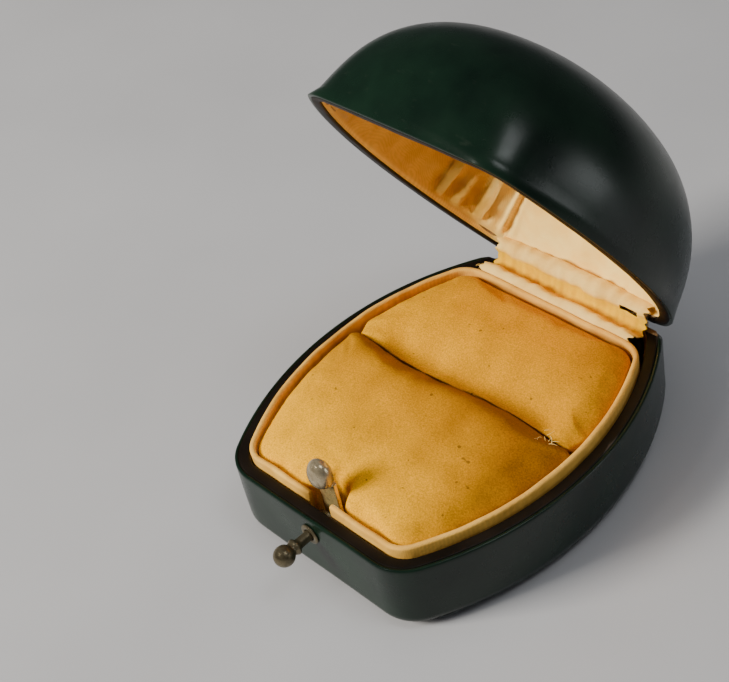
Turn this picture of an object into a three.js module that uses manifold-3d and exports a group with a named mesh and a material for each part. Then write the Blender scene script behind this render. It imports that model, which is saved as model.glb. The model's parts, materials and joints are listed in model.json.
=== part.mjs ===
// Antique ring box: a base with a two-part velvet ring pad, a domed lid on a pin hinge,
// a sprung catch in front of the pad and the push button that frees it.
// Millimetres, +Z up, front (button side) towards -Y, origin at the centre of the underside.
import * as THREE from 'three';
import { mergeVertices } from 'three/addons/utils/BufferGeometryUtils.js';
import Module from 'manifold-3d';

const wasm = await Module();
wasm.setup();

// ---- driving dimensions -------------------------------------------------------------------

// Plan of the box: straight front and rear, arched sides, rounded corners
const DEPTH = 54;
const FRONT_WIDTH = 30.5;
const REAR_WIDTH = 27.2;
const SIDE_BULGE = 9.1;
const CORNER_RADIUS = 6.4;

// Heights
const RIM = 11.3; // mating face of the base
const SHUT_GAP = 0.35; // between the mating faces when the lid is shut
const LID_RIM = RIM + SHUT_GAP;
const DOME_HEIGHT = 19.9;
const FLOOR_TOP = 2.5;

// Dome: how its section falls off, how its plan rounds off and how far its top leans forward
const DOME_RISE_POWER = 2.37;
const DOME_SHRINK_POWER = 2.5;
const DOME_PLAN_POWER = 2.1;
const DOME_PLAN_BLEND = 0.4;
const DOME_LEAN = -2.6;
const DOME_STEPS = 9;

// Skins and walls
const LEATHER = 0.5;
const GLUE = 0.1; // clearance between glued layers
const FACING = 0.35;
const BASE_WALL_INSET = 2.1;
const BASE_REAR_INSET = 2.4;
const LID_WALL_INSET = 1.8;
const LID_WALL_TOP = 2.2;

// Collar round the pad; its rear run stands well in from the rear wall
const COLLAR_INSET = 2.35;
const COLLAR_THICK = 0.75;
const COLLAR_REAR_EXTRA = 4.5;
const COLLAR_PROUD = 1.4;
const COLLAR_GAP_HALF = 2.9; // half of the opening for the catch

// Ring pad
const PAD_INSET = 3.4;
const PAD_BOTTOM = 3.7;
const SLOT_FRONT = 0.5;
const SLOT_REAR = 1.7;

// Hinge
const LID_OPEN = THREE.MathUtils.degToRad(57.8);
const AXIS_Y = 25.2;
const AXIS_Z = RIM - 0.9;
const BEVEL = THREE.MathUtils.degToRad(46);
const HINGE_HALF = 12;
const KNUCKLES = 5;
const KNUCKLE_GAP = 0.2;
const BARREL_RADIUS = 0.9;
const BARREL_CLEARANCE = 0.3;
const PIN_RADIUS = 0.42;
const BORE_RADIUS = 0.52;
const LEAF_Y = [24.05, 24.5];
const LEAF_REACH = 4;
const NAIL_X = [-8, 0, 8];
const NAIL_RISE = 2.6; // nails above and below the hinge's axis
const SILK_HALF = 13.2; // half width of the silk over the hinge

// Catch and button
const CATCH_FACE_Y = -23;
const CATCH_THICK = 0.7;
const NECK_HALF = 1.7;
const NOSE_Z = RIM + 3.6;
const HEAD_Z = RIM + 4.9;
const HEAD_SIZE = [1.85, 1.5, 2.4];
const BUTTON_Z = RIM - 2.8;
const STEM_RADIUS = 0.7;
const BALL_RADIUS = 1.45;
const BALL_Y = -31.6;
const FERRULE_RADIUS = 1.1;
const SCREW_X = [-1.7, 1.7];
const SCREW_Y = -19.4;
const KEEPER_NAIL_X = [-1.5, 1.5];
const KEEPER_NAIL_Z = RIM + 4.7;
const HEAD_ROOM_HALF = 3.4; // half width of the room for the catch's head inside the lid
const HEAD_ROOM_TOP = RIM + 8.2;

// Base layers from the underside up
const UNDERSIDE_INSET = 1.2;
const UNDERSIDE_THICK = 0.55;
const SKIN_FOOT = 0.6;
const SKIN_TURN_IN = 3; // how far the leather turns in under the base
const EDGE_RADIUS = 1.7;
const TRAY_Z = [3.05, 3.6];

// ---- solids -------------------------------------------------------------------------------

// Merged vertices, no empty triangles, faces outward
function closed(geometry) {
  const bare = geometry.clone();
  for (const name of Object.keys(bare.attributes)) {
    if (name !== 'position') bare.deleteAttribute(name);
  }
  const merged = mergeVertices(bare, 1e-5);
  const kept = [];
  const index = merged.index.array;
  for (let i = 0; i < index.length; i += 3) {
    const [a, b, c] = [index[i], index[i + 1], index[i + 2]];
    if (a !== b && b !== c && c !== a) kept.push(a, b, c);
  }
  if (signedVolume(merged.attributes.position, kept) < 0) kept.reverse();
  merged.setIndex(kept);
  return merged;
}

function signedVolume(position, index) {
  const [a, b, c] = [new THREE.Vector3(), new THREE.Vector3(), new THREE.Vector3()];
  let sum = 0;
  for (let i = 0; i < index.length; i += 3) {
    a.fromBufferAttribute(position, index[i]);
    b.fromBufferAttribute(position, index[i + 1]);
    c.fromBufferAttribute(position, index[i + 2]);
    sum += a.dot(b.cross(c));
  }
  return sum;
}

function toSolid(geometry) {
  const mesh = closed(geometry);
  return new wasm.Manifold(new wasm.Mesh({
    numProp: 3,
    vertProperties: new Float32Array(mesh.attributes.position.array),
    triVerts: new Uint32Array(mesh.index.array),
  }));
}

function toGeometry(solid) {
  const mesh = solid.getMesh();
  const geometry = new THREE.BufferGeometry();
  geometry.setAttribute('position', new THREE.BufferAttribute(mesh.vertProperties, 3));
  geometry.setIndex(new THREE.BufferAttribute(mesh.triVerts, 1));
  return geometry;
}

function cut(geometry, ...tools) {
  return toGeometry(tools.reduce((solid, tool) => solid.subtract(toSolid(tool)), toSolid(geometry)));
}

function join(geometry, ...others) {
  return toGeometry(others.reduce((solid, other) => solid.add(toSolid(other)), toSolid(geometry)));
}

function common(geometry, other) {
  return toGeometry(toSolid(geometry).intersect(toSolid(other)));
}

function block([x0, x1], [y0, y1], [z0, z1]) {
  return new THREE.BoxGeometry(x1 - x0, y1 - y0, z1 - z0)
    .translate((x0 + x1) / 2, (y0 + y1) / 2, (z0 + z1) / 2);
}

function rodX(radius, [x0, x1], y, z, sides = 20) {
  return new THREE.CylinderGeometry(radius, radius, x1 - x0, sides)
    .rotateZ(Math.PI / 2).translate((x0 + x1) / 2, y, z);
}

function rodY(radius, x, [y0, y1], z, sides = 20) {
  return new THREE.CylinderGeometry(radius, radius, y1 - y0, sides)
    .translate(x, (y0 + y1) / 2, z);
}

function rodZ(radius, x, y, [z0, z1], sides = 16) {
  return new THREE.CylinderGeometry(radius, radius, z1 - z0, sides)
    .rotateX(Math.PI / 2).translate(x, y, (z0 + z1) / 2);
}

// ---- the plan and what is swept from it ---------------------------------------------------

// Anticlockwise points of the plan, drawn in by inset, and by rearInset at the rear
function outline(inset, rearInset = inset) {
  const a = new THREE.Vector2(FRONT_WIDTH / 2, -DEPTH / 2);
  const b = new THREE.Vector2(REAR_WIDTH / 2, DEPTH / 2);
  const chord = b.clone().sub(a);
  const half = chord.length() / 2;
  const radius = (half * half + SIDE_BULGE * SIDE_BULGE) / (2 * SIDE_BULGE);
  const outward = new THREE.Vector2(chord.y, -chord.x).normalize();
  const centre = a.add(b).multiplyScalar(0.5).addScaledVector(outward, SIDE_BULGE - radius);
  const corner = Math.max(CORNER_RADIUS - inset, 0.4);
  const cornerAt = (y) => {
    const reach = radius - inset - corner;
    return new THREE.Vector2(centre.x + Math.sqrt(reach ** 2 - (y - centre.y) ** 2), y);
  };
  const front = cornerAt(-DEPTH / 2 + inset + corner);
  const rear = cornerAt(DEPTH / 2 - rearInset - corner);
  const frontAngle = front.clone().sub(centre).angle() - 2 * Math.PI;
  const rearAngle = rear.clone().sub(centre).angle();
  const right = [
    new THREE.Vector2(0, front.y - corner),
    new THREE.Vector2(front.x / 2, front.y - corner),
    ...arc(front, corner, -Math.PI / 2, frontAngle, 5),
    ...arc(centre, radius - inset, frontAngle, rearAngle, 12).slice(1, -1),
    ...arc(rear, corner, rearAngle, Math.PI / 2, 5),
    new THREE.Vector2(rear.x / 2, rear.y + corner),
  ];
  const left = right.slice(1).reverse().map((p) => new THREE.Vector2(-p.x, p.y));
  return [...right, new THREE.Vector2(0, rear.y + corner), ...left];
}

function arc(centre, radius, from, to, steps) {
  return Array.from({ length: steps + 1 }, (_, i) => {
    const angle = from + (to - from) * i / steps;
    return new THREE.Vector2(centre.x + radius * Math.cos(angle), centre.y + radius * Math.sin(angle));
  });
}

// Solid through a stack of rings of equal length, closed by fans to two centres
function loft(rings, bottom, top) {
  const count = rings[0].length;
  const index = [];
  for (let r = 0; r < rings.length - 1; r++) addRing(index, r * count, (r + 1) * count, count);
  const low = rings.length * count;
  const last = (rings.length - 1) * count;
  for (let i = 0; i < count; i++) {
    const next = (i + 1) % count;
    index.push(low, next, i, low + 1, last + i, last + next);
  }
  return fromPoints([...rings.flat(), bottom, top], index);
}

function addRing(index, lower, upper, count) {
  for (let i = 0; i < count; i++) {
    const next = (i + 1) % count;
    index.push(lower + i, lower + next, upper + next, lower + i, upper + next, upper + i);
  }
}

function fromPoints(points, index) {
  const geometry = new THREE.BufferGeometry().setFromPoints(points);
  geometry.setIndex(index);
  return geometry;
}

function ringAt(points, z) {
  return points.map((p) => new THREE.Vector3(p.x, p.y, z));
}

// Upright slab with the box's plan
function slab(inset, [z0, z1], rearExtra = 0) {
  const plan = outline(inset, inset + rearExtra);
  const centre = (z) => new THREE.Vector3(0, 0, z);
  return loft([ringAt(plan, z0), ringAt(plan, z1)], centre(z0), centre(z1));
}

// Closed profile of [inset, z] carried round the plan, listed outer side upwards first
function band(profile, rearExtra = 0) {
  const rings = profile.map(([inset, z]) => ringAt(outline(inset, inset + rearExtra), z));
  const count = rings[0].length;
  const index = [];
  rings.forEach((_, r) => addRing(index, r * count, ((r + 1) % rings.length) * count, count));
  return fromPoints(rings.flat(), index);
}

// Dome standing on the lid's rim, with a skirt below it
function dome(inset, height, skirt = 0, rearExtra = 0) {
  const plan = outline(inset, inset + rearExtra);
  const halfX = Math.max(...plan.map((p) => p.x));
  const halfY = (DEPTH - rearExtra) / 2 - inset;
  const middle = -rearExtra / 2;
  const rings = skirt > 0 ? [ringAt(plan, LID_RIM - skirt)] : [];
  for (let i = 0; i < DOME_STEPS; i++) {
    const shrink = Math.cos(Math.PI / 2 * i / DOME_STEPS);
    const rise = (1 - shrink ** DOME_SHRINK_POWER) ** (1 / DOME_RISE_POWER);
    const blend = rise ** DOME_PLAN_BLEND;
    rings.push(plan.map((p) => {
      const oval = ovalPoint(p.x / halfX, (p.y - middle) / halfY);
      const x = (p.x * (1 - blend) + oval.x * halfX * blend) * shrink;
      const y = ((p.y - middle) * (1 - blend) + oval.y * halfY * blend) * shrink;
      return new THREE.Vector3(x, y + middle + DOME_LEAN * rise, LID_RIM + height * rise);
    }));
  }
  const bottom = new THREE.Vector3(0, 0, LID_RIM - skirt);
  const top = new THREE.Vector3(0, middle + DOME_LEAN, LID_RIM + height);
  return loft(rings, bottom, top);
}

// The point of a unit superellipse in the direction of (x, y)
function ovalPoint(x, y) {
  const angle = Math.atan2(y, x);
  const [c, s] = [Math.cos(angle), Math.sin(angle)];
  const length = (Math.abs(c) ** DOME_PLAN_POWER + Math.abs(s) ** DOME_PLAN_POWER) ** (-1 / DOME_PLAN_POWER);
  return new THREE.Vector2(length * c, length * s);
}

// Wedge behind the hinge axis, above the bevel for the base (up = 1), below it for the lid (up = -1)
function bevelWedge(up) {
  const reach = 8;
  const shape = new THREE.Shape([
    new THREE.Vector2(AXIS_Y, AXIS_Z),
    new THREE.Vector2(AXIS_Y + reach, AXIS_Z - up * reach * Math.tan(BEVEL)),
    new THREE.Vector2(AXIS_Y + reach, AXIS_Z + up * reach),
    new THREE.Vector2(AXIS_Y, AXIS_Z + up * reach),
  ]);
  return extrudeAlongX(shape, 30);
}

// A (y, z) shape carried along X from -half to +half
function extrudeAlongX(shape, half) {
  const toYZ = new THREE.Matrix4().makeBasis(
    new THREE.Vector3(0, 1, 0), new THREE.Vector3(0, 0, 1), new THREE.Vector3(1, 0, 0));
  return new THREE.ExtrudeGeometry(shape, { depth: 2 * half, bevelEnabled: false, curveSegments: 8 })
    .translate(0, 0, -half).applyMatrix4(toYZ);
}

function barrelGroove() {
  const reach = HINGE_HALF + BARREL_CLEARANCE;
  return rodX(BARREL_RADIUS + BARREL_CLEARANCE, [-reach, reach], AXIS_Y, AXIS_Z, 24);
}

// Recess in a rear wall for a hinge leaf
function leafRoom(up) {
  const zs = [AXIS_Z - up, AXIS_Z + up * (LEAF_REACH + 0.3)].sort((a, b) => a - b);
  return block([-HINGE_HALF - 0.3, HINGE_HALF + 0.3], [18, LEAF_Y[1] + 0.1], zs);
}

// ---- meshes -------------------------------------------------------------------------------

function part(name, geometry, color, roughness, metalness = 0) {
  const material = new THREE.MeshStandardMaterial({ color, roughness, metalness });
  const ready = closed(geometry);
  ready.computeVertexNormals();
  const mesh = new THREE.Mesh(ready, material);
  mesh.name = name;
  return mesh;
}

const GREEN = 0x14241c;
const BLACK = 0x16120f;
const WOOD = 0x9c7648;
const CARD = 0x7d6a52;
const CREAM = 0xe6cf9f;
const OCHRE = 0xc98f2a;
const BRASS = 0xb08a45;
const STEEL = 0x9a9384;

// ---- base ---------------------------------------------------------------------------------

// Quarter of a rounded bottom edge, from the wall down to the flat, at a given depth of skin
function bottomEdge(inset, z) {
  const radius = EDGE_RADIUS - inset;
  return [0, 1, 2, 3].map((i) => {
    const angle = Math.PI / 2 * i / 3;
    return [inset + radius * (1 - Math.cos(angle)), z + radius * (1 - Math.sin(angle))];
  });
}

function baseLeather() {
  const outer = bottomEdge(0, SKIN_FOOT).reverse();
  const inner = bottomEdge(LEATHER, SKIN_FOOT + LEATHER);
  const skin = band([
    [SKIN_TURN_IN, SKIN_FOOT], ...outer, [0, RIM - 0.05],
    [LEATHER, RIM - 0.05], ...inner, [SKIN_TURN_IN, SKIN_FOOT + LEATHER],
  ]);
  return cut(skin, bevelWedge(1), rodY(FERRULE_RADIUS + GLUE, 0, [-28, -24], BUTTON_Z));
}

function baseCarcass() {
  const low = SKIN_FOOT + LEATHER + GLUE;
  const edge = bottomEdge(LEATHER + GLUE, low).reverse();
  const rings = [...edge, [LEATHER + GLUE, RIM - FACING - GLUE]]
    .map(([inset, z]) => ringAt(outline(inset), z));
  const body = loft(rings, new THREE.Vector3(0, 0, low), new THREE.Vector3(0, 0, RIM - FACING - GLUE));
  const well = slab(BASE_WALL_INSET, [FLOOR_TOP, RIM + 2], BASE_REAR_INSET - BASE_WALL_INSET);
  const holes = NAIL_X.map((x) => rodY(0.4, x, [24, 26.2], AXIS_Z - NAIL_RISE, 12));
  const screwHoles = SCREW_X.map((x) => rodZ(0.5, x, SCREW_Y, [1.3, 3], 12));
  const bore = rodY(FERRULE_RADIUS + GLUE, 0, [-28, -24], BUTTON_Z);
  return cut(body, well, bevelWedge(1), barrelGroove(), leafRoom(-1), bore, ...holes, ...screwHoles);
}

function baseFacing() {
  const ring = band([
    [LEATHER + GLUE, RIM - FACING], [LEATHER + GLUE, RIM],
    [BASE_WALL_INSET - 0.05, RIM], [BASE_WALL_INSET - 0.05, RIM - FACING],
  ]);
  return cut(ring, bevelWedge(1), barrelGroove(), block([-13, 13], [AXIS_Y - 2, 28], [RIM - 1, RIM + 1]));
}

function collar() {
  const [outer, inner] = [COLLAR_INSET, COLLAR_INSET + COLLAR_THICK];
  const top = RIM + COLLAR_PROUD;
  const ring = band([
    [outer, FLOOR_TOP + 0.1], [outer, top - 0.2], [outer + 0.2, top],
    [inner - 0.2, top], [inner, top - 0.2], [inner, FLOOR_TOP + 0.1],
  ], COLLAR_REAR_EXTRA);
  return cut(ring, block([-COLLAR_GAP_HALF, COLLAR_GAP_HALF], [-28, -22], [0, 20]));
}

// Flat tray under the pad, notched for the catch
function padTray() {
  const tray = slab(COLLAR_INSET + COLLAR_THICK + 0.1, TRAY_Z, COLLAR_REAR_EXTRA);
  return cut(tray, block([-3.5, 3.5], [-28, -17.6], [2, 5]));
}

function padSolid() {
  const steps = [[0, PAD_BOTTOM], [0, RIM - 0.7], [0.5, RIM + 0.1], [2.1, RIM + 0.9], [5.6, RIM + 1.6]];
  const rings = steps.map(([draw, z]) => {
    const inset = PAD_INSET + draw;
    return ringAt(outline(inset, inset + COLLAR_REAR_EXTRA), z);
  });
  return loft(rings, new THREE.Vector3(0, -2, PAD_BOTTOM), new THREE.Vector3(0, -2, RIM + 2));
}

function frontCushion() {
  const half = common(padSolid(), block([-30, 30], [-30, SLOT_FRONT], [0, 20]));
  return cut(half, block([-3.2, 3.2], [-30, -20.2], [0, 20]));
}

function rearCushion() {
  return common(padSolid(), block([-30, 30], [SLOT_REAR, 30], [0, 20]));
}

// Strip of folded cloth along the bottom of the ring slot
function slotLining() {
  return block([-17, 17], [SLOT_FRONT + 0.1, SLOT_REAR - 0.1], [PAD_BOTTOM + 0.05, PAD_BOTTOM + 0.6]);
}

// Wooden strip behind the collar's rear run, which holds the foot of the silk
function rearFillet() {
  return block([-11, 11], [20.5, 23.4], [FLOOR_TOP + 0.1, RIM - 1.9]);
}

// Silk over the hinge, as one soft strip from behind the collar to the lid's lining
function hingeSilk() {
  const [y, z] = [AXIS_Y, AXIS_Z];
  const front = [[-4.5, -0.7], [-4.5, 0.9], [-3.9, 1.9], [-3.2, 2.6], [-2.6, 3.5], [-1.6, 4.2], [-0.5, 4.5]];
  const back = [[-0.4, 4], [-1.3, 3.7], [-2.2, 3], [-2.8, 2.2], [-3.5, 1.4], [-4, 0.7], [-4, -0.7]];
  const shape = new THREE.Shape([...front, ...back].map(([dy, dz]) => new THREE.Vector2(y + dy, z + dz)));
  return extrudeAlongX(shape, SILK_HALF);
}

// ---- hinge --------------------------------------------------------------------------------

function knuckleSpan(i) {
  const length = 2 * HINGE_HALF / KNUCKLES;
  const start = -HINGE_HALF + i * length;
  return [start + KNUCKLE_GAP / 2, start + length - KNUCKLE_GAP / 2];
}

// Leaf with its own knuckles: even ones go down into the base, odd ones up into the lid
function hingeLeaf(up) {
  const spans = Array.from({ length: KNUCKLES }, (_, i) => knuckleSpan(i));
  const own = spans.filter((_, i) => (up < 0 ? i % 2 === 0 : i % 2 === 1));
  const other = spans.filter((_, i) => (up < 0 ? i % 2 === 1 : i % 2 === 0));
  const zs = [AXIS_Z, AXIS_Z + up * LEAF_REACH].sort((a, b) => a - b);
  const plate = block([-HINGE_HALF, HINGE_HALF], LEAF_Y, zs);
  const clearance = other.map(([x0, x1]) => rodX(BARREL_RADIUS + 0.25, [x0 - 0.2, x1 + 0.2], AXIS_Y, AXIS_Z));
  const barrels = own.map((span) => rodX(BARREL_RADIUS, span, AXIS_Y, AXIS_Z));
  const bore = rodX(BORE_RADIUS, [-20, 20], AXIS_Y, AXIS_Z, 16);
  const holes = NAIL_X.map((x) => rodY(0.36, x, [23, 26], AXIS_Z + up * NAIL_RISE, 12));
  return cut(join(cut(plate, ...clearance), ...barrels), bore, ...holes);
}

function hingePin() {
  return rodX(PIN_RADIUS, [-HINGE_HALF - 0.15, HINGE_HALF + 0.15], AXIS_Y, AXIS_Z, 14);
}

// Flat-headed nail through a leaf into the wall behind it
function hingeNail(x, z) {
  return lathe([[0, 23.7], [0.6, 23.75], [0.6, 23.98], [0.28, 23.98], [0.28, 25.7], [0, 25.9]], x, z, 10);
}

// Profile of [radius, y] turned about the line through (x, z) along Y
function lathe(profile, x, z, sides = 20) {
  const points = profile.map(([radius, y]) => new THREE.Vector2(radius, y));
  return new THREE.LatheGeometry(points, sides).translate(x, 0, z);
}

// ---- catch and button ---------------------------------------------------------------------

function catchBracket() {
  const foot = block([-2.6, 2.6], [-23.7, -18], [FLOOR_TOP + 0.05, FLOOR_TOP + 0.5]);
  const stand = block([-2.6, 2.6], [-23.7, -23.25], [FLOOR_TOP + 0.3, 4.9]);
  const holes = SCREW_X.map((x) => rodZ(0.5, x, SCREW_Y, [1, 4], 12));
  return cut(join(foot, stand), ...holes);
}

function catchScrew(x) {
  const points = [[0, 1.4], [0.42, 1.6], [0.42, 3.03], [0.75, 3.03], [0.6, 3.25], [0, 3.3]];
  const body = new THREE.LatheGeometry(points.map(([r, z]) => new THREE.Vector2(r, z)), 12)
    .rotateX(Math.PI / 2).translate(x, SCREW_Y, 0);
  return cut(body, block([x - 1, x + 1], [SCREW_Y - 0.1, SCREW_Y + 0.1], [3.15, 4]));
}

// Upright tongue: a flat neck with an oval domed head whose nose hooks the keeper
function catchTongue() {
  const [width, depth, height] = HEAD_SIZE;
  const back = CATCH_FACE_Y + CATCH_THICK;
  const neck = block([-NECK_HALF, NECK_HALF], [CATCH_FACE_Y, back], [3.1, NOSE_Z + 0.3]);
  const heel = block([-2.3, 2.3], [CATCH_FACE_Y, back], [3.1, 4.6]);
  const oval = new THREE.SphereGeometry(1, 20, 14).scale(width, depth, height)
    .translate(0, CATCH_FACE_Y - 0.3, HEAD_Z);
  const head = cut(oval, block([-4, 4], [-28, -20], [NOSE_Z - 5, NOSE_Z]));
  return join(neck, heel, head);
}

function pushButton() {
  const ball = Array.from({ length: 9 }, (_, i) => {
    const angle = Math.PI * (0.17 + 0.83 * i / 8);
    return [BALL_RADIUS * Math.sin(angle), BALL_Y + BALL_RADIUS * Math.cos(angle)];
  });
  ball[ball.length - 1][0] = 0;
  const stem = [[0, -23.2], [STEM_RADIUS, -23.2], [STEM_RADIUS, -29.5], [1.05, -29.7], [1.05, -30]];
  return lathe([...stem, ...ball], 0, BUTTON_Z);
}

function buttonFerrule() {
  const [bore, flange] = [STEM_RADIUS + 0.15, FERRULE_RADIUS + 0.4];
  return lathe([
    [bore, -27.35], [flange, -27.35], [flange, -27.05], [FERRULE_RADIUS, -27.05],
    [FERRULE_RADIUS, -24.95], [bore, -24.95], [bore, -27.35],
  ], 0, BUTTON_Z);
}

function buttonWasher() {
  const bore = STEM_RADIUS + 0.03;
  return lathe([[bore, -24.3], [1.5, -24.3], [1.5, -23.9], [bore, -23.9], [bore, -24.3]], 0, BUTTON_Z);
}

// ---- lid, built shut ----------------------------------------------------------------------

function lidLeather() {
  const shell = cut(dome(0, DOME_HEIGHT), dome(LEATHER, DOME_HEIGHT - LEATHER, 1));
  return cut(shell, bevelWedge(-1));
}

function lidCarcass() {
  const skin = LEATHER + GLUE;
  const shell = cut(dome(skin, DOME_HEIGHT - skin), dome(LID_WALL_INSET, DOME_HEIGHT - LID_WALL_TOP, 1));
  const facingRoom = block([-30, 30], [-30, 30], [LID_RIM - 1, LID_RIM + FACING + GLUE]);
  const holes = NAIL_X.map((x) => rodY(0.4, x, [24, 26.2], AXIS_Z + NAIL_RISE, 12));
  const headRoom = block([-HEAD_ROOM_HALF, HEAD_ROOM_HALF], [-25.6, -20], [RIM, HEAD_ROOM_TOP]);
  const keeperHoles = KEEPER_NAIL_X.map((x) => rodY(0.36, x, [-26.1, -25], KEEPER_NAIL_Z, 12));
  const hingeRoom = [bevelWedge(-1), barrelGroove(), leafRoom(1), ...holes];
  return cut(shell, facingRoom, headRoom, ...hingeRoom, ...keeperHoles);
}

function lidFacing() {
  const [low, high] = [LID_RIM, LID_RIM + FACING];
  const inner = COLLAR_INSET - 0.2;
  const ring = band([[0.75, low], [0.75, high], [inner, high], [inner, low]]);
  return cut(ring, bevelWedge(-1), barrelGroove(), block([-13, 13], [AXIS_Y - 2, 28], [RIM - 1, RIM + 2]));
}

function lidLining() {
  const shell = cut(dome(2.05, DOME_HEIGHT - 2.55, 0, 1.7), dome(2.9, DOME_HEIGHT - 3.5, 1, 1.7));
  const collarRoom = block([-30, 30], [-30, 30], [LID_RIM - 1, LID_RIM + 1.5]);
  const headRoom = block([-HEAD_ROOM_HALF, HEAD_ROOM_HALF], [-28, -20], [RIM, HEAD_ROOM_TOP]);
  return cut(shell, collarRoom, headRoom);
}

function keeperPlate() {
  const plate = block([-2.3, 2.3], [-25.5, -25.1], [RIM + 2.8, RIM + 5.6]);
  const ledge = block([-2.3, 2.3], [-25.3, -24], [RIM + 2.8, RIM + 3.4]);
  const holes = KEEPER_NAIL_X.map((x) => rodY(0.34, x, [-26, -24.9], KEEPER_NAIL_Z, 12));
  return cut(join(plate, ledge), ...holes);
}

function keeperNail(x) {
  return lathe([[0, -26], [0.26, -25.9], [0.26, -25.05], [0.5, -25.05], [0.45, -24.85], [0, -24.8]],
    x, KEEPER_NAIL_Z, 10);
}

// ---- assembly -----------------------------------------------------------------------------

const ringBox = new THREE.Group();

ringBox.add(
  part('base_underside', slab(UNDERSIDE_INSET, [0, UNDERSIDE_THICK]), BLACK, 0.7),
  part('base_leather', baseLeather(), GREEN, 0.25),
  part('base_carcass', baseCarcass(), WOOD, 0.7),
  part('base_rim_facing', baseFacing(), BLACK, 0.45),
  part('collar', collar(), CREAM, 0.6),
  part('pad_tray', padTray(), CARD, 0.9),
  part('front_cushion', frontCushion(), OCHRE, 0.95),
  part('rear_cushion', rearCushion(), OCHRE, 0.95),
  part('slot_lining', slotLining(), OCHRE, 0.95),
  part('rear_fillet', rearFillet(), WOOD, 0.7),
  part('hinge_silk', hingeSilk(), CREAM, 0.5),
  part('hinge_leaf_base', hingeLeaf(-1), BRASS, 0.35, 1),
  part('hinge_pin', hingePin(), STEEL, 0.35, 1),
  part('catch_bracket', catchBracket(), BRASS, 0.35, 1),
  part('button_ferrule', buttonFerrule(), BRASS, 0.35, 1),
);
NAIL_X.forEach((x, i) => {
  ringBox.add(part(`hinge_nail_base_${i + 1}`, hingeNail(x, AXIS_Z - NAIL_RISE), BRASS, 0.4, 1));
});
SCREW_X.forEach((x, i) => {
  ringBox.add(part(`catch_screw_${i + 1}`, catchScrew(x), STEEL, 0.4, 1));
});

ringBox.add(
  part('catch_tongue', catchTongue(), STEEL, 0.3, 1),
  part('push_button', pushButton(), BRASS, 0.3, 1),
  part('button_washer', buttonWasher(), BRASS, 0.4, 1),
);

const lid = new THREE.Group();
lid.position.set(0, -AXIS_Y, -AXIS_Z);
lid.add(
  part('lid_leather', lidLeather(), GREEN, 0.2),
  part('lid_carcass', lidCarcass(), WOOD, 0.7),
  part('lid_rim_facing', lidFacing(), BLACK, 0.45),
  part('lid_lining', lidLining(), OCHRE, 0.45),
  part('hinge_leaf_lid', hingeLeaf(1), BRASS, 0.35, 1),
  part('keeper_plate', keeperPlate(), BRASS, 0.35, 1),
);
NAIL_X.forEach((x, i) => {
  lid.add(part(`hinge_nail_lid_${i + 1}`, hingeNail(x, AXIS_Z + NAIL_RISE), BRASS, 0.4, 1));
});
KEEPER_NAIL_X.forEach((x, i) => {
  lid.add(part(`keeper_nail_${i + 1}`, keeperNail(x), BRASS, 0.4, 1));
});

// The lid is shown open, turned back about the hinge pin
const lidOnHinge = new THREE.Group();
lidOnHinge.position.set(0, AXIS_Y, AXIS_Z);
lidOnHinge.rotation.x = -LID_OPEN;
lidOnHinge.add(lid);
ringBox.add(lidOnHinge);

export default ringBox;
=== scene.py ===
"""Antique ring box: green leather outside, velvet ring pad, silk lining and gusset, brass catch.

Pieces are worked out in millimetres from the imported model's boxes and joints, and written in metres.
"""
import json
from math import atan2, ceil, cos, degrees, pi, radians, sin, sqrt, tan

import bmesh
import bpy
import numpy as np
from mathutils import Matrix, Vector


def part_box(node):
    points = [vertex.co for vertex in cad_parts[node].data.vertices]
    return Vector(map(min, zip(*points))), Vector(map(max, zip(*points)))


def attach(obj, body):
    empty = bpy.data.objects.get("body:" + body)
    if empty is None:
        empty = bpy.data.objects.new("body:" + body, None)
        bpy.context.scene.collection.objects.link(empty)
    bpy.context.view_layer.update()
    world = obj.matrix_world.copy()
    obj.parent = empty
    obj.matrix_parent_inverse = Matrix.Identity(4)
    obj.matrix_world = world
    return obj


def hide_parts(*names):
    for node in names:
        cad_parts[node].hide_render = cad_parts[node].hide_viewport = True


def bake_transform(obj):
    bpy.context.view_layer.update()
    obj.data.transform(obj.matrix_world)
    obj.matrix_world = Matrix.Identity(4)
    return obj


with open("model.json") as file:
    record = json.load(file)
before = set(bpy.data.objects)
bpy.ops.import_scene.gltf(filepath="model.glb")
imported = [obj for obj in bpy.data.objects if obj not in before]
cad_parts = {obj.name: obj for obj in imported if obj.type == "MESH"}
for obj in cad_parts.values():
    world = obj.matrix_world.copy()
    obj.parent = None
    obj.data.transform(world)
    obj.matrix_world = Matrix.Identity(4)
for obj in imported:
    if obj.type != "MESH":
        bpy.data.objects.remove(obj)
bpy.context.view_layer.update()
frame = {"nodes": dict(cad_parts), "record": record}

MM = 0.001


# ---- dimensions from the frame ----

def box_mm(node):
    low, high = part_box(node)
    return np.array(low) / MM, np.array(high) / MM


HINGE = next(j for j in frame["record"]["behaviour"]["joints"] if j["name"] == "lid_hinge")
AXIS_Y, AXIS_Z = (value / MM for value in HINGE["pos_m"][1:])
LID_OPEN = radians(-HINGE["range_deg"][0])
DEPTH = box_mm("base_leather")[1][1] * 2
RIM = box_mm("base_rim_facing")[1][2]
UNDERSIDE_TOP = box_mm("base_underside")[1][2]
COLLAR_FOOT, COLLAR_TOP = (corner[2] for corner in box_mm("collar"))
PAD_FOOT = box_mm("front_cushion")[0][2]
SLOT_FRONT = box_mm("front_cushion")[1][1]
SLOT_REAR = box_mm("rear_cushion")[0][1]
HINGE_HALF = box_mm("hinge_leaf_base")[1][0]
BUTTON_Z = (box_mm("push_button")[0][2] + box_mm("push_button")[1][2]) / 2

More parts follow.
